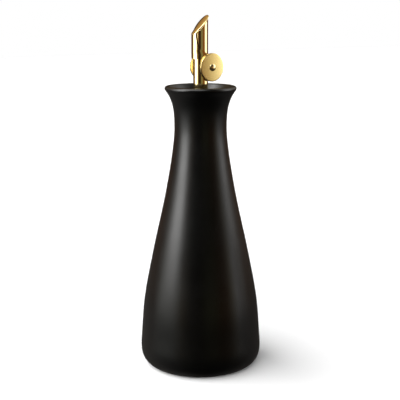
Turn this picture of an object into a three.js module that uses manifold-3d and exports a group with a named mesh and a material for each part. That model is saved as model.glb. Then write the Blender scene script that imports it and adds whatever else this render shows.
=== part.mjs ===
// A ceramic oil dispenser: a matt black bottle with a flared mouth, and in its neck a silicone
// stopper that carries a gold pouring tube. The tube's mouth is cut on a slant, and a hinged
// hood with two round weights closes it when the bottle stands upright.
// Millimetres, +Z up. The origin is on the bottle's axis at the level of its foot, and the
// oil pours towards +X.
import * as THREE from "three";
import { mergeVertices } from "three/addons/utils/BufferGeometryUtils.js";
import Module from "manifold-3d";

// Bottle: height and outer radius at the wall's stations, from the belly to the flare.
const WALL_STATIONS = [
  [21.4, 45.85],
  [51.4, 43.3],
  [89.9, 36.07],
  [132.7, 26.7],
  [168.0, 20.8],
  [184.0, 19.55],
  [199.0, 20.72],
  [206.9, 23.5],
  [211.25, 26.35],
];
const WALL = 3.9;
const FOOT_OUTER_RADIUS = 32.8;
const FOOT_INNER_RADIUS = 28.4;
const FOOT_RECESS = 1.2;
const FOOT_HANDLE = 15.07;
const BELLY_HANDLE = 9.09;
const BOTTLE_SEGMENTS = 40;
const WALL_STEPS = 20;
const FOOT_STEPS = 6;
const LIP_STEPS = 6;

// Stopper: a ribbed plug in the neck.
const STOPPER_BOTTOM = 170;
const STOPPER_TOP = 193;
const STOPPER_CORE_RADIUS = 13.2;
const STOPPER_RIBS = [175, 181, 187];
const STOPPER_RIB_HEIGHT = 2.4;
const STOPPER_FLANGE = 2.5;
const STOPPER_CLEARANCE = 0.35;
const STOPPER_BORE = 5.7;
const STOPPER_SEGMENTS = 32;

// Pouring tube.
const TUBE_RADIUS = 5.5;
const TUBE_BORE = 4.7;
const TUBE_BOTTOM = 166;
const TUBE_SEGMENTS = 32;

// Slanted lid: the plane of its upper face, through (0, LID_HEIGHT) in side view.
const LID_SLANT = (48.5 * Math.PI) / 180;
const LID_HEIGHT = 259.65;
const LID_THICKNESS = 0.7;
const LID_EDGE = 0.2;
const LID_SEGMENTS = 44;
const MOUTH_GAP = 0.3;
// The lid's edge in plan, from its tip back towards the strap: X and half width.
const LID_STATIONS = [
  [5.6, 0],
  [5.1, 2.2],
  [4.2, 3.6],
  [3.0, 4.55],
  [1.6, 5.15],
  [0.3, 5.3],
  [-1.0, 5.1],
  [-2.2, 4.65],
  [-3.4, 4.0],
  [-4.6, 3.4],
];

// Hood: a folded sheet, round at the back, with flat ears that lean in towards the front.
const SHEET = 0.6;
const HOOD_INNER = 5.85;
const HOOD_CENTRE_X = -0.42;
const EAR_LEAN = (7 * Math.PI) / 180;
const HOOD_LOWER_EDGE = 234.3;
const BEND_STEPS = 20;
const EDGE_GUIDE = 1.5;
const GUIDE_COLUMNS = 24;
// Height and half angle of the strap's edge, from the shoulder up past the lid.
const STRAP_EDGE = [
  [240.5, 89],
  [241.1, 68],
  [242.1, 59],
  [243.8, 48],
  [247.2, 37],
  [250.2, 31],
  [253.2, 30],
  [256.2, 30],
];
const FOLD_RADIUS = 2.5;
const FOLD_STEPS = 4;
const FOLD_OVERLAP = 0.1;
// The ear's front edge above the weight: distance along the flat, and height.
const EAR_FRONT = [
  [2.4, 233.9],
  [2.1, 237.2],
];
const STRAP_STEPS = 14;

// Hinge: stub pins on the tube, in holes in the hood's ears.
const PIVOT_X = 0;
const PIVOT_Z = 232;
const PIN_RADIUS = 1.0;
const PIN_HOLE = 1.08;
const PIN_END = 6.15;
const PIVOT_BOSS = 2.6;

// Weights: two round discs riveted flat to the ears, a distance along the flat.
const DISC_ALONG = 5.3;
const DISC_Z = 228;
const DISC_RADIUS = 10.35;
const DISC_THICKNESS = 2.0;
const DISC_EDGE = 0.3;
const DISC_SEGMENTS = 40;
const EAR_END = 5.2;
const RIVET_SHANK = 1.2;
const RIVET_HOLE = 1.4;
const RIVET_HEAD = 2.8;
const RIVET_DOME = 1.0;
const SEAT_GAP = 0.02;
const RIVET_SEGMENTS = 24;

const CERAMIC = new THREE.MeshStandardMaterial({ color: 0x111110, roughness: 0.55, metalness: 0 });
const SILICONE = new THREE.MeshStandardMaterial({ color: 0x1a1a1a, roughness: 0.7, metalness: 0 });
const GOLD = new THREE.MeshStandardMaterial({ color: 0xd9b56a, roughness: 0.12, metalness: 1 });
const TURNED_GOLD = new THREE.MeshStandardMaterial({ color: 0xcfae62, roughness: 0.3, metalness: 1 });

const wasm = await Module();
wasm.setup();

const vec = (x, y) => new THREE.Vector2(x, y);

function toSolid(geometry) {
  const bare = geometry.clone();
  bare.deleteAttribute("normal");
  bare.deleteAttribute("uv");
  const merged = mergeVertices(bare, 1e-5);
  return new wasm.Manifold(
    new wasm.Mesh({
      numProp: 3,
      vertProperties: new Float32Array(merged.attributes.position.array),
      triVerts: new Uint32Array(merged.index.array),
    }),
  );
}

function toGeometry(solid) {
  const mesh = solid.getMesh();
  const geometry = new THREE.BufferGeometry();
  geometry.setAttribute("position", new THREE.BufferAttribute(new Float32Array(mesh.vertProperties), 3));
  geometry.setIndex(new THREE.BufferAttribute(new Uint32Array(mesh.triVerts), 1));
  geometry.computeVertexNormals();
  return geometry;
}

// A lathe profile given as radius and height turns about +Z.
function turned(profile, segments) {
  return new THREE.LatheGeometry(profile, segments).rotateX(Math.PI / 2);
}

// A side-view outline, in X and Z, becomes a prism across the whole width in Y.
function acrossWidth(outline, halfWidth) {
  const prism = new THREE.ExtrudeGeometry(new THREE.Shape(outline), {
    depth: 2 * halfWidth,
    bevelEnabled: false,
  });
  return prism.rotateX(Math.PI / 2).translate(0, halfWidth, 0);
}

function arc(centre, radius, from, to, steps) {
  const points = [];
  for (let i = 0; i <= steps; i++) {
    const angle = from + ((to - from) * i) / steps;
    points.push(vec(centre.x + radius * Math.cos(angle), centre.y + radius * Math.sin(angle)));
  }
  return points;
}

// Bottle

function wallCurve() {
  const stations = WALL_STATIONS.map(([height, radius]) => new THREE.Vector3(radius, height, 0));
  return new THREE.CatmullRomCurve3(stations, false, "centripetal");
}

// The outer wall from the foot's edge to the lip, each point with its outward normal.
function outerWall() {
  const wall = wallCurve();
  const start = wall.getTangent(0);
  const belly = vec(WALL_STATIONS[0][1], WALL_STATIONS[0][0]);
  const foot = new THREE.CubicBezierCurve(
    vec(FOOT_OUTER_RADIUS, 0),
    vec(FOOT_OUTER_RADIUS + FOOT_HANDLE, 0),
    vec(belly.x - BELLY_HANDLE * start.x, belly.y - BELLY_HANDLE * start.y),
    belly,
  );
  const samples = [];
  for (let i = 0; i < FOOT_STEPS; i++) {
    samples.push([foot.getPoint(i / FOOT_STEPS), foot.getTangent(i / FOOT_STEPS)]);
  }
  for (let i = 0; i <= WALL_STEPS; i++) {
    samples.push([wall.getPoint(i / WALL_STEPS), wall.getTangent(i / WALL_STEPS)]);
  }
  return samples.map(([point, tangent]) => {
    return { point: vec(point.x, point.y), normal: vec(tangent.y, -tangent.x) };
  });
}

function bottleProfile() {
  const wall = outerWall();
  const last = wall[wall.length - 1];
  const lipCentre = last.point.clone().addScaledVector(last.normal, -WALL / 2);
  const lipStart = last.normal.angle() - 2 * Math.PI;
  const lip = arc(lipCentre, WALL / 2, lipStart, lipStart + Math.PI, LIP_STEPS);
  const inside = wall.map(({ point, normal }) => point.clone().addScaledVector(normal, -WALL)).reverse();
  return [
    vec(0, FOOT_RECESS),
    vec(FOOT_INNER_RADIUS - FOOT_RECESS, FOOT_RECESS),
    vec(FOOT_INNER_RADIUS, 0),
    ...wall.map(({ point }) => point),
    ...lip.slice(1, -1),
    ...inside,
    vec(FOOT_INNER_RADIUS - FOOT_RECESS, FOOT_RECESS + WALL),
    vec(0, FOOT_RECESS + WALL),
  ];
}

function makeBottle() {
  return turned(bottleProfile(), BOTTLE_SEGMENTS);
}

// The bore's radius at a height, between the neck's own stations.
function neckRadius(height) {
  const inside = bottleProfile().slice(-WALL_STEPS - FOOT_STEPS - 3, -2);
  for (let i = 0; i < inside.length - 1; i++) {
    const upper = inside[i];
    const lower = inside[i + 1];
    if (height <= upper.y && height >= lower.y) {
      return lower.x + ((upper.x - lower.x) * (height - lower.y)) / (upper.y - lower.y);
    }
  }
  throw new Error("no neck at this height");
}

// Stopper

function makeStopper() {
  const profile = [vec(STOPPER_BORE, STOPPER_BOTTOM), vec(STOPPER_CORE_RADIUS, STOPPER_BOTTOM)];
  for (const rib of STOPPER_RIBS) {
    const edge = neckRadius(rib) - STOPPER_CLEARANCE;
    profile.push(vec(STOPPER_CORE_RADIUS, rib - STOPPER_RIB_HEIGHT / 2));
    profile.push(vec(edge, rib));
    profile.push(vec(STOPPER_CORE_RADIUS, rib + STOPPER_RIB_HEIGHT / 2));
  }
  const flangeBottom = STOPPER_TOP - STOPPER_FLANGE;
  profile.push(vec(STOPPER_CORE_RADIUS, flangeBottom));
  profile.push(vec(neckRadius(flangeBottom) - STOPPER_CLEARANCE, flangeBottom));
  profile.push(vec(neckRadius(STOPPER_TOP) - STOPPER_CLEARANCE, STOPPER_TOP));
  profile.push(vec(STOPPER_BORE, STOPPER_TOP));
  profile.push(vec(STOPPER_BORE, STOPPER_BOTTOM));
  return turned(profile, STOPPER_SEGMENTS);
}

// Slanted lid and mouth

// The height of the lid's upper face, less a depth measured square to the slant.
function slantHeight(x, depth) {
  return LID_HEIGHT + x * Math.tan(LID_SLANT) - depth / Math.cos(LID_SLANT);
}

// Everything above a plane that lies a given depth below the lid's upper face.
function aboveSlant(depth) {
  const reach = 40;
  return acrossWidth(
    [
      vec(-reach, slantHeight(-reach, depth)),
      vec(reach, slantHeight(reach, depth)),
      vec(reach, slantHeight(reach, depth) + 4 * reach),
      vec(-reach, slantHeight(reach, depth) + 4 * reach),
    ],
    reach,
  );
}

// The plate's outline as seen square to the slant: round the tip, in to the strap's width, and
// along the strap's outer face.
function lidOutline() {
  const halfAngle = (STRAP_EDGE[STRAP_EDGE.length - 1][1] * Math.PI) / 180;
  const middle = vec(HOOD_CENTRE_X, 0);
  const strapEnd = arc(middle, HOOD_INNER + SHEET, Math.PI - halfAngle, Math.PI + halfAngle, 6);
  const half = [...LID_STATIONS, strapEnd[0].toArray()];
  const mirrored = half.slice(1).map(([x, y]) => [x, -y]);
  const stations = [...mirrored.reverse(), ...half].map(([x, y]) => new THREE.Vector3(x, y, 0));
  const edge = new THREE.CatmullRomCurve3(stations, false, "centripetal").getSpacedPoints(LID_SEGMENTS);
  const points = [...edge, ...strapEnd.slice(1, -1)];
  return points.map(({ x, y }) => vec(x / Math.cos(LID_SLANT), y));
}

// The plate is drawn flat, with eased edges, and then turned up to the slant.
function makeLidPlate() {
  const plate = new THREE.ExtrudeGeometry(new THREE.Shape(lidOutline()), {
    depth: LID_THICKNESS - 2 * LID_EDGE,
    bevelThickness: LID_EDGE,
    bevelSize: LID_EDGE,
    bevelOffset: -LID_EDGE,
    bevelSegments: 1,
  });
  return plate.translate(0, 0, LID_EDGE - LID_THICKNESS).rotateY(-LID_SLANT).translate(0, 0, LID_HEIGHT);
}

// What comes off outside the rounded fold between the strap and the lid.
function outsideFold() {
  const low = HOOD_CENTRE_X - HOOD_INNER - SHEET;
  const turn = Math.PI / 2 - LID_SLANT;
  const bottom = slantHeight(low, 0) - FOLD_RADIUS * Math.tan(turn / 2);
  const centre = vec(low + FOLD_RADIUS, bottom);
  const fold = arc(centre, FOLD_RADIUS, Math.PI, Math.PI - turn, FOLD_STEPS);
  const last = fold[FOLD_STEPS];
  const away = vec(last.x - 4 * Math.sin(LID_SLANT), last.y + 4 * Math.cos(LID_SLANT));
  return acrossWidth([...fold, away, vec(low - 6, away.y), vec(low - 6, bottom)], HOOD_INNER);
}

// Pouring tube

function makeTube() {
  const top = slantHeight(TUBE_RADIUS, 0) + 5;
  const profile = [
    vec(TUBE_BORE, TUBE_BOTTOM),
    vec(TUBE_RADIUS, TUBE_BOTTOM),
    vec(TUBE_RADIUS, top),
    vec(TUBE_BORE, top),
    vec(TUBE_BORE, TUBE_BOTTOM),
  ];
  let tube = toSolid(turned(profile, TUBE_SEGMENTS));
  tube = tube.subtract(toSolid(aboveSlant(LID_THICKNESS + MOUTH_GAP)));
  const pinLength = PIN_END - (TUBE_BORE + TUBE_RADIUS) / 2;
  for (const side of [-1, 1]) {
    const pin = new THREE.CylinderGeometry(PIN_RADIUS, PIN_RADIUS, pinLength, 16);
    pin.translate(PIVOT_X, side * (PIN_END - pinLength / 2), PIVOT_Z);
    tube = tube.add(toSolid(pin));
  }
  return toGeometry(tube);
}

// Hood

// The unit vectors square to an ear's flat and along it, for the side at -Y or +Y.
function earSquare(side) {
  return vec(Math.sin(EAR_LEAN), side * Math.cos(EAR_LEAN));
}

function earAlong(side) {
  return vec(Math.cos(EAR_LEAN), -side * Math.sin(EAR_LEAN));
}

const BEND_LENGTH = (HOOD_INNER + SHEET / 2) * (Math.PI / 2 + EAR_LEAN);

// A place on the sheet: arc length from the middle of the back, and distance from its middle layer.
function onSheet(along, offset) {
  const middle = HOOD_INNER + SHEET / 2;
  const side = Math.sign(along);
  const length = Math.abs(along);
  const radius = middle + offset;
  const centre = vec(HOOD_CENTRE_X, 0);
  if (length > BEND_LENGTH) {
    centre.addScaledVector(earSquare(side), radius);
    return centre.addScaledVector(earAlong(side), length - BEND_LENGTH);
  }
  const angle = length / middle;
  return vec(HOOD_CENTRE_X - radius * Math.cos(angle), side * radius * Math.sin(angle));
}

// The weight's centre on its ear, in side view.
function weightCentre() {
  return vec(onSheet(BEND_LENGTH + DISC_ALONG, 0).x, DISC_Z);
}

// Half widths of the sheet, as arc length and height, from the ears' lower end up to the lid.
function hoodOutline() {
  const end = arc(vec(BEND_LENGTH + DISC_ALONG, DISC_Z), EAR_END, -Math.PI / 2, Math.PI / 2, 12);
  const front = EAR_FRONT.map(([along, height]) => vec(BEND_LENGTH + along, height));
  const middle = HOOD_INNER + SHEET / 2;
  const edge = STRAP_EDGE.map(([height, degrees]) => {
    return new THREE.Vector3((middle * degrees * Math.PI) / 180, height, 0);
  });
  const strap = new THREE.CatmullRomCurve3(edge, false, "centripetal").getSpacedPoints(STRAP_STEPS);
  return [...end, ...front, ...strap.map((point) => vec(point.x, point.y))];
}

// A thick body that holds the sheet and nothing past its edges, which it cuts square to the bend.
// Rows follow the outline, and columns run round the bend.
function makeEdgeGuide() {
  const outline = hoodOutline();
  const positions = [];
  for (const offset of [-EDGE_GUIDE, EDGE_GUIDE]) {
    for (const { x: halfWidth, y: height } of outline) {
      for (let j = 0; j <= GUIDE_COLUMNS; j++) {
        const place = onSheet(halfWidth * ((2 * j) / GUIDE_COLUMNS - 1), offset);
        positions.push(place.x, place.y, height);
      }
    }
  }
  const row = GUIDE_COLUMNS + 1;
  const layer = row * outline.length;
  const at = (face, i, j) => face * layer + i * row + j;
  const indices = [];
  const quad = (a, b, c, d) => indices.push(a, b, c, a, c, d);
  for (let i = 0; i < outline.length - 1; i++) {
    for (let j = 0; j < GUIDE_COLUMNS; j++) {
      quad(at(1, i, j), at(1, i + 1, j), at(1, i + 1, j + 1), at(1, i, j + 1));
      quad(at(0, i, j), at(0, i, j + 1), at(0, i + 1, j + 1), at(0, i + 1, j));
    }
    quad(at(0, i, 0), at(0, i + 1, 0), at(1, i + 1, 0), at(1, i, 0));
    const last = GUIDE_COLUMNS;
    quad(at(0, i, last), at(1, i, last), at(1, i + 1, last), at(0, i + 1, last));
  }
  const top = outline.length - 1;
  for (let j = 0; j < GUIDE_COLUMNS; j++) {
    quad(at(0, 0, j), at(1, 0, j), at(1, 0, j + 1), at(0, 0, j + 1));
    quad(at(0, top, j), at(0, top, j + 1), at(1, top, j + 1), at(1, top, j));
  }
  const geometry = new THREE.BufferGeometry();
  geometry.setAttribute("position", new THREE.BufferAttribute(new Float32Array(positions), 3));
  geometry.setIndex(indices);
  return geometry;
}

// The folded sheet before its edges are cut, as its section carried straight up.
function makeChannel() {
  const reach = BEND_LENGTH + DISC_ALONG + 2 * EAR_END;
  const outer = [];
  const inner = [];
  for (let i = 0; i <= BEND_STEPS; i++) {
    const along = BEND_LENGTH * ((2 * i) / BEND_STEPS - 1);
    outer.push(onSheet(along, SHEET / 2));
    inner.unshift(onSheet(along, -SHEET / 2));
  }
  const section = [
    onSheet(-reach, SHEET / 2),
    ...outer,
    onSheet(reach, SHEET / 2),
    onSheet(reach, -SHEET / 2),
    ...inner,
    onSheet(-reach, -SHEET / 2),
  ];
  const bottom = DISC_Z - 2 * EAR_END;
  const channel = new THREE.ExtrudeGeometry(new THREE.Shape(section), {
    depth: STRAP_EDGE[STRAP_EDGE.length - 1][0] + 1 - bottom,
    bevelEnabled: false,
  });
  return channel.translate(0, 0, bottom);
}

// The outline round two circles, joined by their outer tangents.
function roundedArm(first, firstRadius, second, secondRadius) {
  const between = second.clone().sub(first);
  const heading = between.angle();
  const lean = Math.acos((firstRadius - secondRadius) / between.length());
  return [
    ...arc(first, firstRadius, heading + lean, heading + 2 * Math.PI - lean, 16),
    ...arc(second, secondRadius, heading - lean, heading + lean, 16),
  ];
}

// What comes off below the hood's edge: all but the ears' arms down to the weights.
function belowHood() {
  const weight = weightCentre();
  const left = -12;
  const bottom = DISC_Z - 2 * EAR_END;
  const block = acrossWidth(
    [vec(left, bottom), vec(weight.x, bottom), vec(weight.x, HOOD_LOWER_EDGE), vec(left, HOOD_LOWER_EDGE)],
    12,
  );
  const arm = roundedArm(vec(PIVOT_X, PIVOT_Z), PIVOT_BOSS, weight, EAR_END);
  return toSolid(block).subtract(toSolid(acrossWidth(arm, 15)));
}

function makeHood() {
  let hood = toSolid(makeChannel()).intersect(toSolid(makeEdgeGuide()));
  hood = hood.subtract(toSolid(aboveSlant(FOLD_OVERLAP)));
  hood = hood.subtract(belowHood());
  const pinHole = new THREE.CylinderGeometry(PIN_HOLE, PIN_HOLE, 30, 16).translate(PIVOT_X, 0, PIVOT_Z);
  hood = hood.subtract(toSolid(pinHole));
  for (const side of [-1, 1]) {
    const rivetHole = new THREE.CylinderGeometry(RIVET_HOLE, RIVET_HOLE, 4, 16).rotateX(Math.PI / 2);
    hood = hood.subtract(toSolid(againstEar(rivetHole, side)));
  }
  hood = hood.add(toSolid(makeLidPlate()));
  return toGeometry(hood.subtract(toSolid(outsideFold())));
}

// Weights and rivets: each is turned about +Z, outer face up, and then laid against its ear.

function againstEar(geometry, side) {
  geometry.rotateX((-side * Math.PI) / 2).rotateZ(-side * EAR_LEAN);
  const seat = onSheet(side * (BEND_LENGTH + DISC_ALONG), SHEET / 2 + SEAT_GAP);
  return geometry.translate(seat.x, seat.y, DISC_Z);
}

function makeWeight(side) {
  const profile = [
    vec(RIVET_HOLE, 0),
    vec(DISC_RADIUS - DISC_EDGE, 0),
    vec(DISC_RADIUS, DISC_EDGE),
    vec(DISC_RADIUS, DISC_THICKNESS - DISC_EDGE),
    vec(DISC_RADIUS - DISC_EDGE, DISC_THICKNESS),
    vec(RIVET_HOLE, DISC_THICKNESS),
    vec(RIVET_HOLE, 0),
  ];
  return againstEar(turned(profile, DISC_SEGMENTS), side);
}

function makeRivet(side) {
  const shankEnd = -SHEET;
  const headBottom = DISC_THICKNESS + SEAT_GAP;
  const profile = [vec(0, shankEnd), vec(RIVET_SHANK, shankEnd), vec(RIVET_SHANK, headBottom)];
  profile.push(vec(RIVET_HEAD, headBottom));
  const steps = 4;
  for (let i = 1; i < steps; i++) {
    const angle = ((i / steps) * Math.PI) / 2;
    profile.push(vec(RIVET_HEAD * Math.cos(angle), headBottom + RIVET_DOME * Math.sin(angle)));
  }
  profile.push(vec(0, headBottom + RIVET_DOME));
  return againstEar(turned(profile, RIVET_SEGMENTS), side);
}

const dispenser = new THREE.Group();

function addPiece(name, geometry, material) {
  const mesh = new THREE.Mesh(geometry, material);
  mesh.name = name;
  dispenser.add(mesh);
}

addPiece("bottle", makeBottle(), CERAMIC);
addPiece("stopper", makeStopper(), SILICONE);
addPiece("pour_tube", makeTube(), GOLD);
addPiece("hood", makeHood(), GOLD);
for (const [name, side] of [["right", -1], ["left", 1]]) {
  addPiece(`weight_${name}`, makeWeight(side), TURNED_GOLD);
  addPiece(`rivet_${name}`, makeRivet(side), GOLD);
}

export default dispenser;
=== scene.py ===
import math

import bpy
from mathutils import Matrix, Vector


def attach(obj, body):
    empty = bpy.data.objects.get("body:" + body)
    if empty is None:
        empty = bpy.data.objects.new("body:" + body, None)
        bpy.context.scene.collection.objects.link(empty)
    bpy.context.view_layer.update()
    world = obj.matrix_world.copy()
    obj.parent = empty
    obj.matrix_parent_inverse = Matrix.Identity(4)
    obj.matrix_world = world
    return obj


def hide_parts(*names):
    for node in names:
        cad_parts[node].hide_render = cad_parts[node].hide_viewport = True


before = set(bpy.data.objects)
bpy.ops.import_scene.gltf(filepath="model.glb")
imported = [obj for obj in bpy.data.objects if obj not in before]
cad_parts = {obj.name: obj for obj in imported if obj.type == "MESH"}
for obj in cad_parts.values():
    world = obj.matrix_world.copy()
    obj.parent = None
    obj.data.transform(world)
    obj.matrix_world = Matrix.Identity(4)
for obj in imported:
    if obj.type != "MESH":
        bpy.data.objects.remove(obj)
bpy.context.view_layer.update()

# Bottle. A tall tapered bottle of stoneware, slip-cast in one piece with a flared mouth and a
# rounded lip. It is glazed matt black all over, and only its foot ring is left as bare clay.

WALL_STATIONS = [
    (0.04585, 0.0214), (0.0433, 0.0514), (0.03607, 0.0899), (0.0267, 0.1327), (0.0208, 0.168),
    (0.01955, 0.184), (0.02072, 0.199), (0.0235, 0.2069), (0.02635, 0.21125),
]
WALL = 0.0039
FOOT_OUTER = 0.0328
FOOT_INNER = 0.0284
FOOT_RECESS = 0.0012
FOOT_HANDLE = 0.01507
BELLY_HANDLE = 0.00909
FOOT_STEPS = 14
BARE_HEIGHT = 0.0006
BARE_INSIDE = 0.0008
BARE_OUTSIDE = 0.002
MERGE_WITHIN = 2e-6
TONE_ENDS = (0.35, 0.65)


def smooth_line(stations, steps):
    """Points on a smooth line through stations of radius and height, some steps to a stretch."""
    line = [Vector(station) for station in stations]
    line = [2 * line[0] - line[1]] + line + [2 * line[-1] - line[-2]]
    points = []
    for before, start, end, after in zip(line, line[1:], line[2:], line[3:]):
        spans = ((before, start), (start, end), (end, after))
        first, middle, last = ((b - a).length ** 0.5 for a, b in spans)
        leaving = ((start - before) / first - (end - before) / (first + middle)) * middle
        arriving = ((after - end) / last - (after - start) / (middle + last)) * middle
        for i in range(steps):
            t = i / steps
            points.append(
                (2 * t**3 - 3 * t**2 + 1) * start + (3 * t**2 - 2 * t**3) * end
                + (t**3 - 2 * t**2 + t) * (end - start + leaving)
                + (t**3 - t**2) * (end - start + arriving)
            )
    return points + [line[-2]]


def round_line(centre, radius, start, end, steps):
    """Points on an arc, from one angle to another."""
    angles = [start + (end - start) * i / steps for i in range(steps + 1)]
    return [centre + radius * Vector((math.cos(a), math.sin(a))) for a in angles]


def outward(points):
    """The direction square to a line at each of its points, to the right of its run."""
    ways = []
    for i in range(len(points)):
        way = points[min(i + 1, len(points) - 1)] - points[max(i - 1, 0)]
        ways.append(Vector((way.y, -way.x)).normalized())
    return ways


def start_piece(name, points):
    """Starts a piece as one vertex and extrudes it from point to point, in edit mode."""
    bpy.ops.object.select_all(action="DESELECT")
    bpy.ops.mesh.primitive_plane_add(size=0.001)
    piece = bpy.context.object
    piece.name = piece.data.name = name
    bpy.ops.object.mode_set(mode="EDIT")
    bpy.ops.mesh.merge(type="CENTER")
    bpy.ops.transform.translate(value=points[0])
    for here, there in zip(points, points[1:]):
        bpy.ops.mesh.extrude_region_move(TRANSFORM_OT_translate={"value": there - here})
    return piece


def close_skin(smooth=35):
    """Merges what meets, turns faces outwards, leaves edit mode and shades the curves smooth."""
    bpy.ops.mesh.select_all(action="SELECT")
    bpy.ops.mesh.remove_doubles(threshold=MERGE_WITHIN)
    bpy.ops.mesh.normals_make_consistent(inside=False)
    bpy.ops.object.mode_set(mode="OBJECT")
    bpy.ops.object.shade_smooth_by_angle(angle=math.radians(smooth))


def turn_piece(name, profile, steps):
    """Turns a profile of radius and height once round the upright axis."""
    piece = start_piece(name, [Vector((point[0], 0, point[1])) for point in profile])
    bpy.ops.mesh.select_all(action="SELECT")
    bpy.ops.mesh.spin(steps=steps, angle=2 * math.pi, center=(0, 0, 0), axis=(0, 0, 1))
    close_skin()
    return piece


wall = smooth_line(WALL_STATIONS, 9)
belly = wall[0]
rise = (wall[1] - wall[0]).normalized()
foot_ends = [
    Vector((FOOT_OUTER, 0)), Vector((FOOT_OUTER + FOOT_HANDLE, 0)),
    belly - BELLY_HANDLE * rise, belly,
]
foot = []
for i in range(FOOT_STEPS):
    t = i / FOOT_STEPS
    foot.append(
        (1 - t) ** 3 * foot_ends[0] + 3 * (1 - t) ** 2 * t * foot_ends[1]
        + 3 * (1 - t) * t**2 * foot_ends[2] + t**3 * foot_ends[3]
    )
outer_wall = foot + wall
ways = outward(outer_wall)
ways[0] = Vector((0, -1))
lip_centre = outer_wall[-1] - WALL / 2 * ways[-1]
lip_start = math.atan2(ways[-1].y, ways[-1].x)
lip = round_line(lip_centre, WALL / 2, lip_start, lip_start + math.pi, 14)
inner_wall = [point - WALL * way for point, way in zip(outer_wall, ways)]
bottle_profile = (
    [(0, FOOT_RECESS), (FOOT_INNER - FOOT_RECESS, FOOT_RECESS), (FOOT_INNER, 0)]
    + [tuple(point) for point in outer_wall + lip[1:-1] + inner_wall[::-1]]
    + [(FOOT_INNER - FOOT_RECESS, FOOT_RECESS + WALL), (0, FOOT_RECESS + WALL)]
)
bottle = turn_piece("bottle_body", bottle_profile, 144)


def new_group(name, inputs, outputs):
    """A node group for surface detail, with its named sockets, and its own first and last node."""
    group = bpy.data.node_groups.new(name, "ShaderNodeTree")
    for label, kind, value in inputs:
        socket = group.interface.new_socket(label, in_out="INPUT", socket_type=kind)
        if value is not None:
            socket.default_value = value
    for label, kind in outputs:
        group.interface.new_socket(label, in_out="OUTPUT", socket_type=kind)
    return group, group.nodes.new("NodeGroupInput"), group.nodes.new("NodeGroupOutput")


# Fine grain: a bump height and a slow tone, both from 0 to 1, at a size given per metre.
grain, grain_in, grain_out = new_group(
    "fine_grain",
    [
        ("Place", "NodeSocketVector", None), ("Fine", "NodeSocketFloat", 1500.0),
        ("Broad", "NodeSocketFloat", 40.0),
    ],
    [("Height", "NodeSocketFloat"), ("Tone", "NodeSocketFloat")],
)
for label, scale, detail in (("Height", "Fine", 3.0), ("Tone", "Broad", 5.0)):
    noise = grain.nodes.new("ShaderNodeTexNoise")
    noise.inputs["Detail"].default_value = detail
    grain.links.new(grain_in.outputs["Place"], noise.inputs["Vector"])
    grain.links.new(grain_in.outputs[scale], noise.inputs["Scale"])
    grain.links.new(noise.outputs["Fac"], grain_out.inputs[label])


def new_finish(name, roughness, colours, bump, fine, broad, stretch=(1, 1, 1)):
    """A surface whose tone, roughness and bump all vary with the fine grain.

    Roughness and colours are given as two ends that the slow tone runs between."""
    material = bpy.data.materials.new(name)
    material.use_nodes = True
    nodes, links = material.node_tree.nodes, material.node_tree.links
    surface = nodes["Principled BSDF"]
    place = nodes.new("ShaderNodeTexCoord")
    scaled = nodes.new("ShaderNodeMapping")
    scaled.inputs["Scale"].default_value = stretch
    links.new(place.outputs["Object"], scaled.inputs["Vector"])
    detail = nodes.new("ShaderNodeGroup")
    detail.node_tree = grain
    detail.inputs["Fine"].default_value = fine
    detail.inputs["Broad"].default_value = broad
    links.new(scaled.outputs["Vector"], detail.inputs["Place"])
    tone = nodes.new("ShaderNodeMapRange")
    tone.inputs["From Min"].default_value, tone.inputs["From Max"].default_value = TONE_ENDS
    tone.inputs["To Min"].default_value, tone.inputs["To Max"].default_value = roughness
    links.new(detail.outputs["Tone"], tone.inputs["Value"])
    links.new(tone.outputs["Result"], surface.inputs["Roughness"])
    shade = nodes.new("ShaderNodeValToRGB")
    for stop, place_at, colour in zip(shade.color_ramp.elements, TONE_ENDS, colours):
        stop.position = place_at
        stop.color = (*colour, 1)
    links.new(detail.outputs["Tone"], shade.inputs["Fac"])
    links.new(shade.outputs["Color"], surface.inputs["Base Color"])
    relief = nodes.new("ShaderNodeBump")
    relief.inputs["Strength"].default_value = 1.0
    relief.inputs["Distance"].default_value = bump
    links.new(detail.outputs["Height"], relief.inputs["Height"])
    links.new(relief.outputs["Normal"], surface.inputs["Normal"])
    return material


matt_glaze = new_finish(
    "matt_black_glaze", (0.30, 0.34), ((0.0002, 0.0002, 0.0002), (0.0005, 0.0005, 0.0004)),
    bump=0.000010, fine=1700.0, broad=55.0,
)
bare_clay = new_finish(
    "bare_clay", (0.82, 0.92), ((0.19, 0.145, 0.105), (0.27, 0.215, 0.16)),
    bump=0.00005, fine=1100.0, broad=160.0,
)
bottle.data.materials.append(matt_glaze)
bottle.data.materials.append(bare_clay)
for face in bottle.data.polygons:
    across = math.hypot(face.center.x, face.center.y)
    if FOOT_INNER - BARE_INSIDE < across < FOOT_OUTER + BARE_OUTSIDE:
        face.material_index = 1 if face.center.z < BARE_HEIGHT else 0
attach(bottle, "bottle")
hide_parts("bottle")

# Stopper. A moulded plug of black silicone that is pushed into the neck. Three ribs and a flange
# grip the wall, and the pouring tube passes through its middle.

STOPPER_BOTTOM = 0.170
STOPPER_TOP = 0.193
STOPPER_CORE = 0.0132
STOPPER_RIBS = (0.175, 0.181, 0.187)
STOPPER_RIB_HEIGHT = 0.0024
STOPPER_FLANGE = 0.0025
STOPPER_GAP = 0.00035
STOPPER_BORE = 0.0057


def neck_radius(height):
    """The radius of the bottle's inside at a height in its neck."""
    for lower, upper in zip(inner_wall[FOOT_STEPS:], inner_wall[FOOT_STEPS + 1:]):
        if lower.y <= height <= upper.y:
            return lower.x + (upper.x - lower.x) * (height - lower.y) / (upper.y - lower.y)
    raise ValueError("there is no neck at this height")


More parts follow.
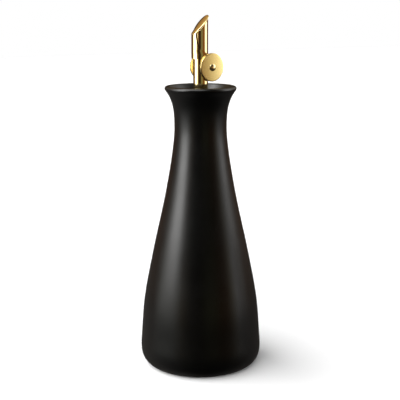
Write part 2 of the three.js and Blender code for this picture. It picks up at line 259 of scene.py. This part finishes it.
stopper_profile = [(STOPPER_BORE, STOPPER_BOTTOM), (STOPPER_CORE, STOPPER_BOTTOM)]
for rib in STOPPER_RIBS:
    edge = neck_radius(rib) - STOPPER_GAP
    stopper_profile += [(STOPPER_CORE, rib - STOPPER_RIB_HEIGHT / 2), (edge, rib)]
    stopper_profile += [(STOPPER_CORE, rib + STOPPER_RIB_HEIGHT / 2)]
for height in (STOPPER_TOP - STOPPER_FLANGE, STOPPER_TOP):
    if height < STOPPER_TOP:
        stopper_profile.append((STOPPER_CORE, height))
    stopper_profile.append((neck_radius(height) - STOPPER_GAP, height))
stopper_profile += [(STOPPER_BORE, STOPPER_TOP), (STOPPER_BORE, STOPPER_BOTTOM)]
stopper = turn_piece("stopper_plug", stopper_profile, 96)


def apply_modifier(piece, kind, **settings):
    """Adds a modifier with its settings to a piece and applies it."""
    bpy.ops.object.select_all(action="DESELECT")
    piece.select_set(True)
    bpy.context.view_layer.objects.active = piece
    modifier = piece.modifiers.new(kind.title(), kind)
    for setting, value in settings.items():
        setattr(modifier, setting, value)
    bpy.ops.object.modifier_apply(modifier=modifier.name)


def bevel_edges(piece, width, segments, degrees):
    """Bevels all of a piece's edges that turn by more than an angle."""
    settings = {"width": width, "segments": segments, "limit_method": "ANGLE"}
    apply_modifier(piece, "BEVEL", angle_limit=math.radians(degrees), **settings)


bevel_edges(stopper, 0.0003, 3, 30)
silicone = new_finish(
    "moulded_silicone", (0.52, 0.62), ((0.012, 0.012, 0.012), (0.019, 0.019, 0.019)),
    bump=0.000008, fine=2600.0, broad=180.0,
)
stopper.data.materials.append(silicone)
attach(stopper, "bottle")
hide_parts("stopper")

# Pouring tube. Drawn stainless tube, cut on a slant at its mouth, polished and plated in a gold
# colour. Two small pins on its sides carry the hood.

TUBE_RADIUS = 0.0055
TUBE_BORE = 0.0047
TUBE_BOTTOM = 0.166
LID_SLANT = math.radians(48.5)
LID_HEIGHT = 0.25965
LID_THICKNESS = 0.0007
MOUTH_GAP = 0.00003
PIVOT_HEIGHT = 0.232
PIN_RADIUS = 0.001
PIN_END = 0.00615
SPARE = 0.015

slant_way = Vector((-math.sin(LID_SLANT), 0, math.cos(LID_SLANT)))


def cut_above_slant(depth):
    """Cuts off all that lies above the lid's upper face, less a depth, and selects the cut."""
    bpy.ops.mesh.select_all(action="SELECT")
    level = Vector((0, 0, LID_HEIGHT)) - depth * slant_way
    bpy.ops.mesh.bisect(plane_co=level, plane_no=slant_way, clear_outer=True)


tube_top = LID_HEIGHT + SPARE
tube = start_piece("pouring_tube", [
    Vector((TUBE_BORE, 0, tube_top)), Vector((TUBE_BORE, 0, TUBE_BOTTOM)),
    Vector((TUBE_RADIUS, 0, TUBE_BOTTOM)), Vector((TUBE_RADIUS, 0, tube_top)),
])
bpy.ops.mesh.select_all(action="SELECT")
bpy.ops.mesh.spin(steps=112, angle=2 * math.pi, center=(0, 0, 0), axis=(0, 0, 1))
bpy.ops.mesh.select_all(action="SELECT")
bpy.ops.mesh.remove_doubles(threshold=MERGE_WITHIN)
cut_above_slant(LID_THICKNESS + MOUTH_GAP)
bpy.ops.mesh.bridge_edge_loops()
close_skin()
bevel_edges(tube, 0.00005, 2, 40)


def join_solid(piece, other, operation):
    """Unites a piece with another solid or cuts the other out of it, and removes the other."""
    apply_modifier(piece, "BOOLEAN", object=other, operation=operation, solver="EXACT")
    bpy.data.objects.remove(other)


for side in (-1, 1):
    pin_length = PIN_END - (TUBE_BORE + TUBE_RADIUS) / 2
    bpy.ops.object.select_all(action="DESELECT")
    bpy.ops.mesh.primitive_cylinder_add(
        vertices=24, radius=PIN_RADIUS, depth=pin_length, rotation=(math.pi / 2, 0, 0),
        location=(0, side * (PIN_END - pin_length / 2), PIVOT_HEIGHT),
    )
    join_solid(tube, bpy.context.object, "UNION")
polished_gold = new_finish(
    "polished_gold", (0.09, 0.13), ((0.85, 0.67, 0.33), (0.90, 0.72, 0.38)),
    bump=0.0000012, fine=900.0, broad=90.0,
)
polished_gold.node_tree.nodes["Principled BSDF"].inputs["Metallic"].default_value = 1.0
tube.data.materials.append(polished_gold)
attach(tube, "bottle")
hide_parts("pour_tube")

# Hood. One blank of thin sheet, bent round the back of the tube into a waisted strap with two
# flat ears, and folded over at the top into the slanted lid. It is plated, and polished all over
# but for the brushed face of the lid.

SHEET = 0.0006
SHEET_EDGE = 0.00008
HOOD_INNER = 0.00585
HOOD_CENTRE = -0.00042
EAR_LEAN = math.radians(7)
HOOD_LOWER_EDGE = 0.2343
STRAP_EDGE = [
    (0.2405, 89), (0.2411, 68), (0.2421, 59), (0.2438, 48), (0.2472, 37), (0.2502, 31),
    (0.2532, 30), (0.2562, 30),
]
EAR_FRONT = [(0.0024, 0.2339), (0.0021, 0.2372)]
EAR_END = 0.0052
PIN_HOLE = 0.00108
PIVOT_BOSS = 0.0026
DISC_ALONG = 0.0053
DISC_HEIGHT = 0.228
SEAT_GAP = 0.00002
RIVET_HOLE = 0.0014
HOOD_COLUMNS = 96
HOOD_REACH = 0.012
LID_STATIONS = [
    (0.0056, 0), (0.0051, 0.0022), (0.0042, 0.0036), (0.003, 0.00455), (0.0016, 0.00515),
    (0.0003, 0.0053), (-0.001, 0.0051), (-0.0022, 0.00465), (-0.0034, 0.004), (-0.0046, 0.0034),
]
LID_ROUNDING = 0.00052
BACK_STARTS = -0.0036
BACK_REACH = 0.002
EASING_DEPTH = 0.0005
EASING_WIDEST = 0.0003
EASING_SIDE = 0.0053
EASING_FRONT = 0.0054
EASING_TAPER = 0.32
FOLD_RADIUS = 0.0025
CLEAR_ABOVE = 0.004
CLEAR_BEHIND = 0.006
DRILL_DEPTH = 0.004
FLUSH_WITHIN = 0.00001

sheet_middle = HOOD_INNER + SHEET / 2
bend_length = sheet_middle * (math.pi / 2 + EAR_LEAN)


def on_sheet(along, height, offset=0.0):
    """A place on the bent sheet, at a length along it from the middle of the back."""
    side = math.copysign(1, along)
    radius = sheet_middle + offset
    turn = min(abs(along), bend_length) / sheet_middle
    past = max(abs(along) - bend_length, 0)
    x = HOOD_CENTRE - radius * math.cos(turn) + past * math.cos(EAR_LEAN)
    y = radius * math.sin(turn) - past * math.sin(EAR_LEAN)
    return Vector((x, side * y, height))


ear_centre = Vector((bend_length + DISC_ALONG, DISC_HEIGHT))
ear_end = round_line(ear_centre, EAR_END, -math.pi / 2, math.pi / 2, 14)
ear_front = [Vector((bend_length + along, height)) for along, height in EAR_FRONT]
strap_stations = [(sheet_middle * math.radians(degrees), height) for height, degrees in STRAP_EDGE]
strap_edge = smooth_line(strap_stations, 5)
hood_rows = ear_end + ear_front + strap_edge
bpy.ops.object.select_all(action="DESELECT")
bpy.ops.mesh.primitive_grid_add(
    x_subdivisions=HOOD_COLUMNS, y_subdivisions=len(hood_rows) - 1, size=1,
)
hood = bpy.context.object
hood.name = hood.data.name = "hood_sheet"
for point in hood.data.vertices:
    half_width, height = hood_rows[round((point.co.y + 0.5) * (len(hood_rows) - 1))]
    point.co = on_sheet(2 * half_width * point.co.x, height)
bpy.ops.object.mode_set(mode="EDIT")
cut_above_slant(LID_THICKNESS / 2)
close_skin()
apply_modifier(hood, "SOLIDIFY", thickness=SHEET, offset=0, use_even_offset=True)
bevel_edges(hood, SHEET_EDGE, 2, 50)


def add_prism(outline, half_width):
    """A solid with a side-view outline of X and height, from one side of the hood to the other."""
    ring = [Vector((point[0], -half_width, point[1])) for point in outline]
    prism = start_piece("prism", ring + ring[:1])
    bpy.ops.mesh.select_all(action="SELECT")
    bpy.ops.mesh.remove_doubles(threshold=MERGE_WITHIN)
    bpy.ops.mesh.edge_face_add()
    bpy.ops.mesh.extrude_region_move(TRANSFORM_OT_translate={"value": (0, 2 * half_width, 0)})
    close_skin()
    return prism


# The sheet below the hood's lower edge is cut away, but for an arm to each weight.
weight_x = on_sheet(bend_length + DISC_ALONG, 0).x
arm_from, arm_to = Vector((0, PIVOT_HEIGHT)), Vector((weight_x, DISC_HEIGHT))
between = arm_to - arm_from
heading = math.atan2(between.y, between.x)
lean = math.acos((PIVOT_BOSS - EAR_END) / between.length)
arm = add_prism(
    round_line(arm_from, PIVOT_BOSS, heading + lean, heading + 2 * math.pi - lean, 20)
    + round_line(arm_to, EAR_END, heading - lean, heading + lean, 20), SPARE,
)
below = DISC_HEIGHT - 2 * EAR_END
corners = [
    (-HOOD_REACH, below), (weight_x, below),
    (weight_x, HOOD_LOWER_EDGE), (-HOOD_REACH, HOOD_LOWER_EDGE),
]
cutter = add_prism(corners, HOOD_REACH)
join_solid(cutter, arm, "DIFFERENCE")
join_solid(hood, cutter, "DIFFERENCE")


def against_ear(side):
    """The place of a part that is turned about the upright axis and then laid on an ear."""
    seat = on_sheet(side * (bend_length + DISC_ALONG), DISC_HEIGHT, SHEET / 2 + SEAT_GAP)
    leant = Matrix.Rotation(-side * EAR_LEAN, 4, "Z")
    laid = Matrix.Rotation(-side * math.pi / 2, 4, "X")
    return Matrix.Translation(seat) @ (leant @ laid)


pin_place = Matrix.Translation((0, 0, PIVOT_HEIGHT)) @ Matrix.Rotation(math.pi / 2, 4, "X")
for radius, depth, place in (
    (PIN_HOLE, 2 * SPARE, pin_place),
    (RIVET_HOLE, DRILL_DEPTH, against_ear(-1)), (RIVET_HOLE, DRILL_DEPTH, against_ear(1)),
):
    bpy.ops.object.select_all(action="DESELECT")
    bpy.ops.mesh.primitive_cylinder_add(vertices=32, radius=radius, depth=depth)
    drill = bpy.context.object
    drill.matrix_world = place
    join_solid(hood, drill, "DIFFERENCE")

# The lid is a plate with a rounded upper edge, united with the top of the strap.
half_angle = math.radians(STRAP_EDGE[-1][1])
strap_outside = HOOD_INNER + SHEET + FLUSH_WITHIN
strap_end = round_line(
    Vector((HOOD_CENTRE, 0)), strap_outside, math.pi - half_angle, math.pi + half_angle, 12,
)
stations = LID_STATIONS + [tuple(strap_end[0])]
stations = [(x, -y) for x, y in stations[:0:-1]] + stations
lid_plan = smooth_line(stations, 5) + strap_end[1:-1]
lid_ring = [Vector((x, y, LID_HEIGHT + x * math.tan(LID_SLANT))) for x, y in lid_plan]
lid = start_piece("lid_plate", lid_ring + lid_ring[:1])
bpy.ops.mesh.select_all(action="SELECT")
bpy.ops.mesh.remove_doubles(threshold=MERGE_WITHIN)
bpy.ops.mesh.edge_face_add()
bpy.ops.mesh.extrude_region_move(TRANSFORM_OT_translate={"value": (0, 0, 0)})
bpy.ops.object.mode_set(mode="OBJECT")
for point in lid.data.vertices:
    if point.select:
        upright = min(max((BACK_STARTS - point.co.x) / BACK_REACH, 0), 1)
        drop = Vector((0, 0, -LID_THICKNESS / math.cos(LID_SLANT)))
        point.co += upright * drop - (1 - upright) * LID_THICKNESS * slant_way
bpy.ops.object.mode_set(mode="EDIT")
bpy.ops.mesh.select_all(action="SELECT")
bpy.ops.mesh.normals_make_consistent(inside=False)
for depth, width in ((0, LID_ROUNDING), (LID_THICKNESS, SHEET_EDGE)):
    level = Vector((0, 0, LID_HEIGHT)) - depth * slant_way
    bpy.ops.mesh.select_all(action="DESELECT")
    bpy.ops.object.mode_set(mode="OBJECT")
    for edge in lid.data.edges:
        ends = [lid.data.vertices[i].co for i in edge.vertices]
        flush = all(abs((end - level).dot(slant_way)) < FLUSH_WITHIN for end in ends)
        edge.select = flush and all(end.x > strap_end[0].x - 2 * FLUSH_WITHIN for end in ends)
    bpy.ops.object.mode_set(mode="EDIT")
    bpy.ops.mesh.bevel(offset=width, segments=6, affect="EDGES")
close_skin()
join_solid(hood, lid, "UNION")

# The outer corner between the strap and the lid is cut to a round fold.
low = HOOD_CENTRE - HOOD_INNER - SHEET
fold_turn = math.pi / 2 - LID_SLANT
fold_from = LID_HEIGHT + low * math.tan(LID_SLANT) - FOLD_RADIUS * math.tan(fold_turn / 2)
fold_centre = Vector((low + FOLD_RADIUS, fold_from))
fold = round_line(fold_centre, FOLD_RADIUS, math.pi, math.pi - fold_turn, 12)
away = fold[-1] + CLEAR_ABOVE * Vector((slant_way.x, slant_way.z))
behind_hood = [Vector((low - CLEAR_BEHIND, height)) for height in (away.y, fold_from)]
outside = add_prism(fold + [away] + behind_hood, HOOD_INNER)
join_solid(hood, outside, "DIFFERENCE")
bpy.ops.object.shade_smooth_by_angle(angle=math.radians(35))
brushed_gold = new_finish(
    "brushed_gold", (0.13, 0.20), ((0.80, 0.60, 0.28), (0.90, 0.71, 0.37)),
    bump=0.0000025, fine=1400.0, broad=700.0, stretch=(0.08, 1, 0.08),
)
brushed_gold.node_tree.nodes["Principled BSDF"].inputs["Metallic"].default_value = 1.0
nodes, links = brushed_gold.node_tree.nodes, brushed_gold.node_tree.links


def add_math(operation, first, second=0.0):
    """A math node on two values, each a socket or a number, in the tree that is being built."""
    node = nodes.new("ShaderNodeMath")
    node.operation = operation
    for socket, value in zip(node.inputs, (first, second)):
        if isinstance(value, (int, float)):
            socket.default_value = value
        else:
            links.new(value, socket)
    return node.outputs["Value"]


# The lid's face is level in the middle and eases down towards its edge.
parts = nodes.new("ShaderNodeSeparateXYZ")
links.new(nodes["Texture Coordinate"].outputs["Object"], parts.inputs["Vector"])
behind = add_math("MAXIMUM", add_math("SUBTRACT", EASING_WIDEST, parts.outputs["X"]), 0.0)
ahead = add_math("MAXIMUM", add_math("SUBTRACT", parts.outputs["X"], EASING_WIDEST), 0.0)
taper = add_math("SUBTRACT", EASING_SIDE, add_math("MULTIPLY", behind, EASING_TAPER))
ratio = add_math("DIVIDE", ahead, EASING_FRONT)
left_over = add_math("SUBTRACT", 1.0, add_math("MULTIPLY", ratio, ratio))
around = add_math("SQRT", add_math("MAXIMUM", left_over, 0.02))
half_width = add_math("MULTIPLY", taper, around)
across = add_math("DIVIDE", add_math("ABSOLUTE", parts.outputs["Y"]), half_width)
easing = nodes.new("ShaderNodeBump")
easing.invert = True
easing.inputs["Distance"].default_value = EASING_DEPTH
links.new(add_math("POWER", across, 4.0), easing.inputs["Height"])
links.new(nodes["Bump"].outputs["Normal"], easing.inputs["Normal"])
links.new(easing.outputs["Normal"], nodes["Principled BSDF"].inputs["Normal"])
hood.data.materials.clear()
hood.data.materials.append(polished_gold)
hood.data.materials.append(brushed_gold)
for face in hood.data.polygons:
    face.material_index = 1 if face.normal.dot(slant_way) > 0.9999 else 0
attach(hood, "cap")
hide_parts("hood")

# Weights. Two discs of the same steel, faced on a lathe and plated, one on each ear, each bowed a
# little from side to side. They keep the hood shut, and swing it open when the bottle is tipped.

DISC_RADIUS = 0.01035
DISC_THICKNESS = 0.002
DISC_EDGE = 0.0003
DISC_CROWN = 0.00006
DISC_BOW = 0.00034
RING_PITCH = 0.00032
GROOVE_DEPTH = 0.000001

radii = [RIVET_HOLE + (DISC_RADIUS - DISC_EDGE - RIVET_HOLE) * i / 12 for i in range(13)]
face = [(radius, DISC_THICKNESS - DISC_CROWN * (radius / DISC_RADIUS) ** 2) for radius in radii]
rim_centre = Vector((DISC_RADIUS - DISC_EDGE, DISC_THICKNESS - DISC_CROWN - DISC_EDGE))
rim = round_line(rim_centre, DISC_EDGE, 0, math.pi / 2, 5)
back_rim = round_line(Vector((rim_centre.x, DISC_EDGE)), DISC_EDGE, -math.pi / 2, 0, 5)
disc_profile = (
    [(RIVET_HOLE, 0)] + [tuple(point) for point in back_rim + rim]
    + face[::-1][1:] + [(RIVET_HOLE, 0)]
)
weight = turn_piece("weight_disc_right", disc_profile, 128)
for point in weight.data.vertices:
    if point.co.z > DISC_THICKNESS / 2:
        point.co.z -= DISC_BOW * (point.co.x / DISC_RADIUS) ** 2
faces = weight.data.uv_layers.new(name="turned_face")
for loop in weight.data.loops:
    place = weight.data.vertices[loop.vertex_index].co
    faces.data[loop.index].uv = [0.5 + value / (2 * DISC_RADIUS) for value in place.xy]

turned_gold = new_finish(
    "turned_gold", (0.25, 0.27), ((0.83, 0.64, 0.27), (0.86, 0.67, 0.29)),
    bump=0.0000003, fine=1200.0, broad=90.0,
)
nodes, links = turned_gold.node_tree.nodes, turned_gold.node_tree.links
nodes["Principled BSDF"].inputs["Metallic"].default_value = 1.0
from_uv = nodes.new("ShaderNodeUVMap")
from_uv.uv_map = "turned_face"
centred = nodes.new("ShaderNodeVectorMath")
centred.operation = "SUBTRACT"
centred.inputs[1].default_value = (0.5, 0.5, 0)
links.new(from_uv.outputs["UV"], centred.inputs[0])
across = nodes.new("ShaderNodeVectorMath")
across.operation = "LENGTH"
links.new(centred.outputs["Vector"], across.inputs[0])
count = nodes.new("ShaderNodeMath")
count.operation = "MULTIPLY"
count.inputs[1].default_value = 2 * DISC_RADIUS * 2 * math.pi / RING_PITCH
links.new(across.outputs["Value"], count.inputs[0])
ring = nodes.new("ShaderNodeMath")
ring.operation = "SINE"
links.new(count.outputs["Value"], ring.inputs[0])
grooves = nodes.new("ShaderNodeBump")
grooves.inputs["Distance"].default_value = GROOVE_DEPTH
links.new(ring.outputs["Value"], grooves.inputs["Height"])
links.new(nodes["Bump"].outputs["Normal"], grooves.inputs["Normal"])
links.new(grooves.outputs["Normal"], nodes["Principled BSDF"].inputs["Normal"])
weight.data.materials.append(turned_gold)


def lay_on_ears(piece, left_name, node):
    """Copies a turned part, lays one on each ear, and lets both ride on the cap."""
    bpy.ops.object.select_all(action="DESELECT")
    piece.select_set(True)
    bpy.context.view_layer.objects.active = piece
    bpy.ops.object.duplicate(linked=False)
    other = bpy.context.object
    other.name = other.data.name = left_name
    for part, side, name in ((piece, -1, "right"), (other, 1, "left")):
        part.matrix_world = against_ear(side)
        bpy.ops.object.select_all(action="DESELECT")
        part.select_set(True)
        bpy.context.view_layer.objects.active = part
        bpy.ops.object.transform_apply(location=True, rotation=True, scale=True)
        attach(part, "cap")
        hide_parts(f"{node}_{name}")


lay_on_ears(weight, "weight_disc_left", "weight")

# Rivets. A domed rivet goes through the middle of each weight and its ear and holds the two
# together. It is turned from the same steel, polished and plated.

RIVET_SHANK = 0.0012
RIVET_HEAD = 0.0028
RIVET_DOME = 0.001

head_bottom = DISC_THICKNESS + SEAT_GAP
rises = [i / 14 * math.pi / 2 for i in range(14)]
dome = [(RIVET_HEAD * math.cos(rise), head_bottom + RIVET_DOME * math.sin(rise)) for rise in rises]
rivet_profile = (
    [(0, -SHEET), (RIVET_SHANK, -SHEET), (RIVET_SHANK, head_bottom)]
    + dome + [(0, head_bottom + RIVET_DOME)]
)
rivet = turn_piece("rivet_head_right", rivet_profile, 64)
satin_gold = new_finish(
    "satin_gold", (0.17, 0.23), ((0.82, 0.64, 0.32), (0.88, 0.70, 0.37)),
    bump=0.000001, fine=1600.0, broad=400.0,
)
satin_gold.node_tree.nodes["Principled BSDF"].inputs["Metallic"].default_value = 1.0
rivet.data.materials.append(satin_gold)
lay_on_ears(rivet, "rivet_head_left", "rivet")

# Table and light. A plain white table lit softly from the left and the front. The glaze and the
# metal reflect a tall soft box and a small strip on each side, a card above the pourer, and a dim
# brown room.

CAMERA_TURN = math.radians(-29)
toward_camera = Vector((math.sin(CAMERA_TURN), -math.cos(CAMERA_TURN), 0))
camera_right = Vector((math.cos(CAMERA_TURN), math.sin(CAMERA_TURN), 0))


def from_camera(degrees, rise=0.0):
    """A level direction from the bottle, turned right from the way to the camera, plus a rise."""
    angle = math.radians(degrees)
    return math.cos(angle) * toward_camera + math.sin(angle) * camera_right + Vector((0, 0, rise))


bpy.ops.object.select_all(action="DESELECT")
bpy.ops.mesh.primitive_plane_add(size=8)
table = bpy.context.object
table.name = "table"
white = bpy.data.materials.new("white_table")
white.use_nodes = True
surface = white.node_tree.nodes["Principled BSDF"]
surface.inputs["Base Color"].default_value = (0.93, 0.93, 0.93, 1)
surface.inputs["Roughness"].default_value = 0.9
surface.inputs["Specular IOR Level"].default_value = 0.0
table.data.materials.append(white)
table.visible_glossy = False
table.visible_diffuse = False


def add_soft_box(name, place, size, radiance):
    """A rectangular soft light that faces the bottle and is only seen as a reflection."""
    bpy.ops.object.light_add(type="AREA", location=place)
    lamp = bpy.context.object
    lamp.name = name
    lamp.rotation_euler = (place - Vector((0, 0, place.z))).to_track_quat("Z", "Y").to_euler()
    lamp.data.shape = "RECTANGLE"
    lamp.data.size, lamp.data.size_y = size
    lamp.data.energy = radiance * math.pi * size[0] * size[1]
    lamp.visible_camera = False
    lamp.visible_diffuse = False
    return lamp


def add_sun(name, direction, energy, spread):
    """A distant soft light that lights the table and isn't seen as a reflection."""
    bpy.ops.object.light_add(type="SUN", location=(0, 0, 2))
    lamp = bpy.context.object
    lamp.name = name
    lamp.rotation_euler = direction.to_track_quat("Z", "Y").to_euler()
    lamp.data.energy = energy
    lamp.data.angle = math.radians(spread)
    lamp.visible_glossy = False


for name, distance, degrees, height, size, radiance in (
    ("soft_box_left", 0.9, -69, 0.93, (0.44, 1.56), 4.8),
    ("soft_box_right", 0.9, 102, 0.74, (0.50, 1.00), 1.0),
    ("strip_left", 0.5, -72, 0.26, (0.38, 0.20), 2.0),
    ("strip_right", 0.5, 95, 0.27, (0.19, 0.20), 2.2),
):
    add_soft_box(name, distance * from_camera(degrees) + Vector((0, 0, height)), size, radiance)
lid_place = Vector((0, 0, 0.255))
card = add_soft_box("card_over_pourer", 0.2 * from_camera(-32, 1.2) + lid_place, (0.42, 0.24), 3.2)
card.rotation_euler = (card.location - lid_place).to_track_quat("Z", "Y").to_euler()
add_sun("key", from_camera(-94, 0.9), energy=3.4, spread=70)
add_sun("fill", from_camera(-12, 0.5), energy=3.5, spread=62)

world = bpy.data.worlds.new("studio")
bpy.context.scene.world = world
world.use_nodes = True
nodes, links = world.node_tree.nodes, world.node_tree.links
nodes.clear()


def add_ramp(value, stops):
    """A colour ramp on a value from 0 to 1, with its stops as pairs of place and colour."""
    node = nodes.new("ShaderNodeValToRGB")
    while len(node.color_ramp.elements) < len(stops):
        node.color_ramp.elements.new(1.0)
    for element, (place_at, colour) in zip(node.color_ramp.elements, stops):
        element.position = place_at
        element.color = (*colour, 1)
    links.new(value, node.inputs["Fac"])
    return node.outputs["Color"]


def add_mix(blend, factor, first, second):
    """A colour mix of two colours, by a factor that is a socket or a number."""
    node = nodes.new("ShaderNodeMix")
    node.data_type = "RGBA"
    node.blend_type = blend
    if isinstance(factor, (int, float)):
        node.inputs[0].default_value = factor
    else:
        links.new(factor, node.inputs[0])
    links.new(first, node.inputs[6])
    links.new(second, node.inputs[7])
    return node.outputs[2]


direction = nodes.new("ShaderNodeTexCoord")
turned = nodes.new("ShaderNodeMapping")
turned.inputs["Rotation"].default_value = (0, 0, -CAMERA_TURN)
links.new(direction.outputs["Generated"], turned.inputs["Vector"])
parts = nodes.new("ShaderNodeSeparateXYZ")
links.new(turned.outputs["Vector"], parts.inputs["Vector"])
angle = add_math("ARCTAN2", parts.outputs["X"], add_math("MULTIPLY", parts.outputs["Y"], -1.0))
angle = add_math("ADD", add_math("DIVIDE", angle, 2 * math.pi), 0.5)
height = add_math("ADD", add_math("MULTIPLY", parts.outputs["Z"], 0.5), 0.5)

# The room as the metal and the glaze reflect it: the angle to the right of the camera and a colour,
# in four layers from below the table's edge to overhead, each with the rise where it fades in.
BELOW = [
    (-180, (0.04, 0.034, 0.03)), (-140, (0.14, 0.13, 0.12)), (-100, (0.19, 0.18, 0.17)),
    (-60, (0.09, 0.09, 0.085)), (-25, (0.022, 0.02, 0.018)), (40, (0.022, 0.02, 0.018)),
    (80, (0.04, 0.038, 0.035)), (110, (0.10, 0.095, 0.09)), (180, (0.04, 0.034, 0.03)),
]
EYE_LEVEL = [
    (-180, (0.10, 0.055, 0.035)), (-98, (0.20, 0.12, 0.075)), (-94, (1.2, 1.2, 1.1)),
    (-50, (1.2, 1.2, 1.1)), (-46, (0.45, 0.33, 0.18)), (-34, (0.36, 0.25, 0.13)),
    (-28, (0.06, 0.035, 0.02)), (-20, (0.03, 0.018, 0.012)), (4, (0.03, 0.018, 0.012)),
    (9, (0.21, 0.20, 0.11)), (33, (0.23, 0.22, 0.12)), (39, (0.20, 0.085, 0.025)),
    (57, (0.20, 0.08, 0.025)), (62, (0.26, 0.14, 0.05)), (70, (0.75, 0.62, 0.36)),
    (77, (1.45, 1.4, 1.3)), (84, (1.6, 1.6, 1.7)), (88, (0.6, 0.55, 0.5)), (105, (0.6, 0.55, 0.5)),
    (109, (0.20, 0.12, 0.075)), (180, (0.10, 0.055, 0.035)),
]
LOW = [
    (-180, (0.02, 0.012, 0.006)), (-160, (0.03, 0.02, 0.012)), (-148, (0.22, 0.20, 0.18)),
    (-115, (0.46, 0.44, 0.40)), (-94, (0.9, 0.88, 0.84)), (-52, (0.9, 0.88, 0.84)),
    (-42, (0.05, 0.045, 0.04)), (-28, (0.004, 0.004, 0.003)), (34, (0.004, 0.004, 0.003)),
    (62, (0.03, 0.025, 0.02)), (76, (0.4, 0.38, 0.34)), (108, (0.9, 0.88, 0.82)),
    (124, (0.9, 0.87, 0.8)), (150, (0.56, 0.53, 0.47)), (165, (0.04, 0.025, 0.015)),
    (180, (0.02, 0.012, 0.006)),
]
OVERHEAD = [
    (-180, (0.20, 0.10, 0.04)), (-158, (0.30, 0.16, 0.06)), (-144, (0.50, 0.33, 0.13)),
    (-118, (0.55, 0.42, 0.24)), (-95, (2.4, 2.4, 2.3)), (-54, (2.4, 2.4, 2.3)),
    (-44, (0.05, 0.04, 0.03)), (-28, (0.004, 0.004, 0.003)), (34, (0.004, 0.004, 0.003)),
    (62, (0.04, 0.03, 0.02)), (76, (0.8, 0.76, 0.7)), (110, (1.2, 1.15, 1.05)),
    (150, (0.45, 0.35, 0.22)), (180, (0.20, 0.10, 0.04)),
]
reflected = add_ramp(angle, [(0.5 + degrees / 360, colour) for degrees, colour in BELOW])
for layer, fade in ((EYE_LEVEL, (-10, -7)), (LOW, (3, 8)), (OVERHEAD, (16, 27))):
    ring = add_ramp(angle, [(0.5 + degrees / 360, colour) for degrees, colour in layer])
    ends = [0.5 + math.sin(math.radians(degrees)) / 2 for degrees in fade]
    reach = add_ramp(height, [(ends[0], (0, 0, 0)), (ends[1], (1, 1, 1))])
    reflected = add_mix("MIX", reach, reflected, ring)

seen = nodes.new("ShaderNodeLightPath")
plain = nodes.new("ShaderNodeRGB")
plain.outputs[0].default_value = (0.18, 0.18, 0.18, 1)
page = nodes.new("ShaderNodeRGB")
page.outputs[0].default_value = (1, 1, 1, 1)
colour = add_mix("MIX", seen.outputs["Is Glossy Ray"], plain.outputs[0], reflected)
colour = add_mix("MIX", seen.outputs["Is Camera Ray"], colour, page.outputs[0])
walls = nodes.new("ShaderNodeBackground")
links.new(colour, walls.inputs["Color"])
output = nodes.new("ShaderNodeOutputWorld")
links.new(walls.outputs["Background"], output.inputs["Surface"])
bpy.context.scene.view_settings.view_transform = "Standard"

# Camera. It stands at the photograph's viewing angle, about 70 cm away and a little above the
# bottle's top, looking slightly down.

CAMERA_AWAY = 0.6926
CAMERA_HEIGHT = 0.2740
CAMERA_TILT = math.radians(78.09)
FOCAL_PIXELS = 932.8
PICTURE_PIXELS = 400
SENSOR_WIDTH = 36
PICTURE_SHIFT = -0.00145

camera_place = CAMERA_AWAY * toward_camera + Vector((0, 0, CAMERA_HEIGHT))
bpy.ops.object.camera_add(location=camera_place)
camera = bpy.context.object
camera.rotation_euler = (CAMERA_TILT, 0, CAMERA_TURN)
camera.data.sensor_width = SENSOR_WIDTH
camera.data.lens = FOCAL_PIXELS * SENSOR_WIDTH / PICTURE_PIXELS
camera.data.shift_x = PICTURE_SHIFT
bpy.context.scene.camera = camera
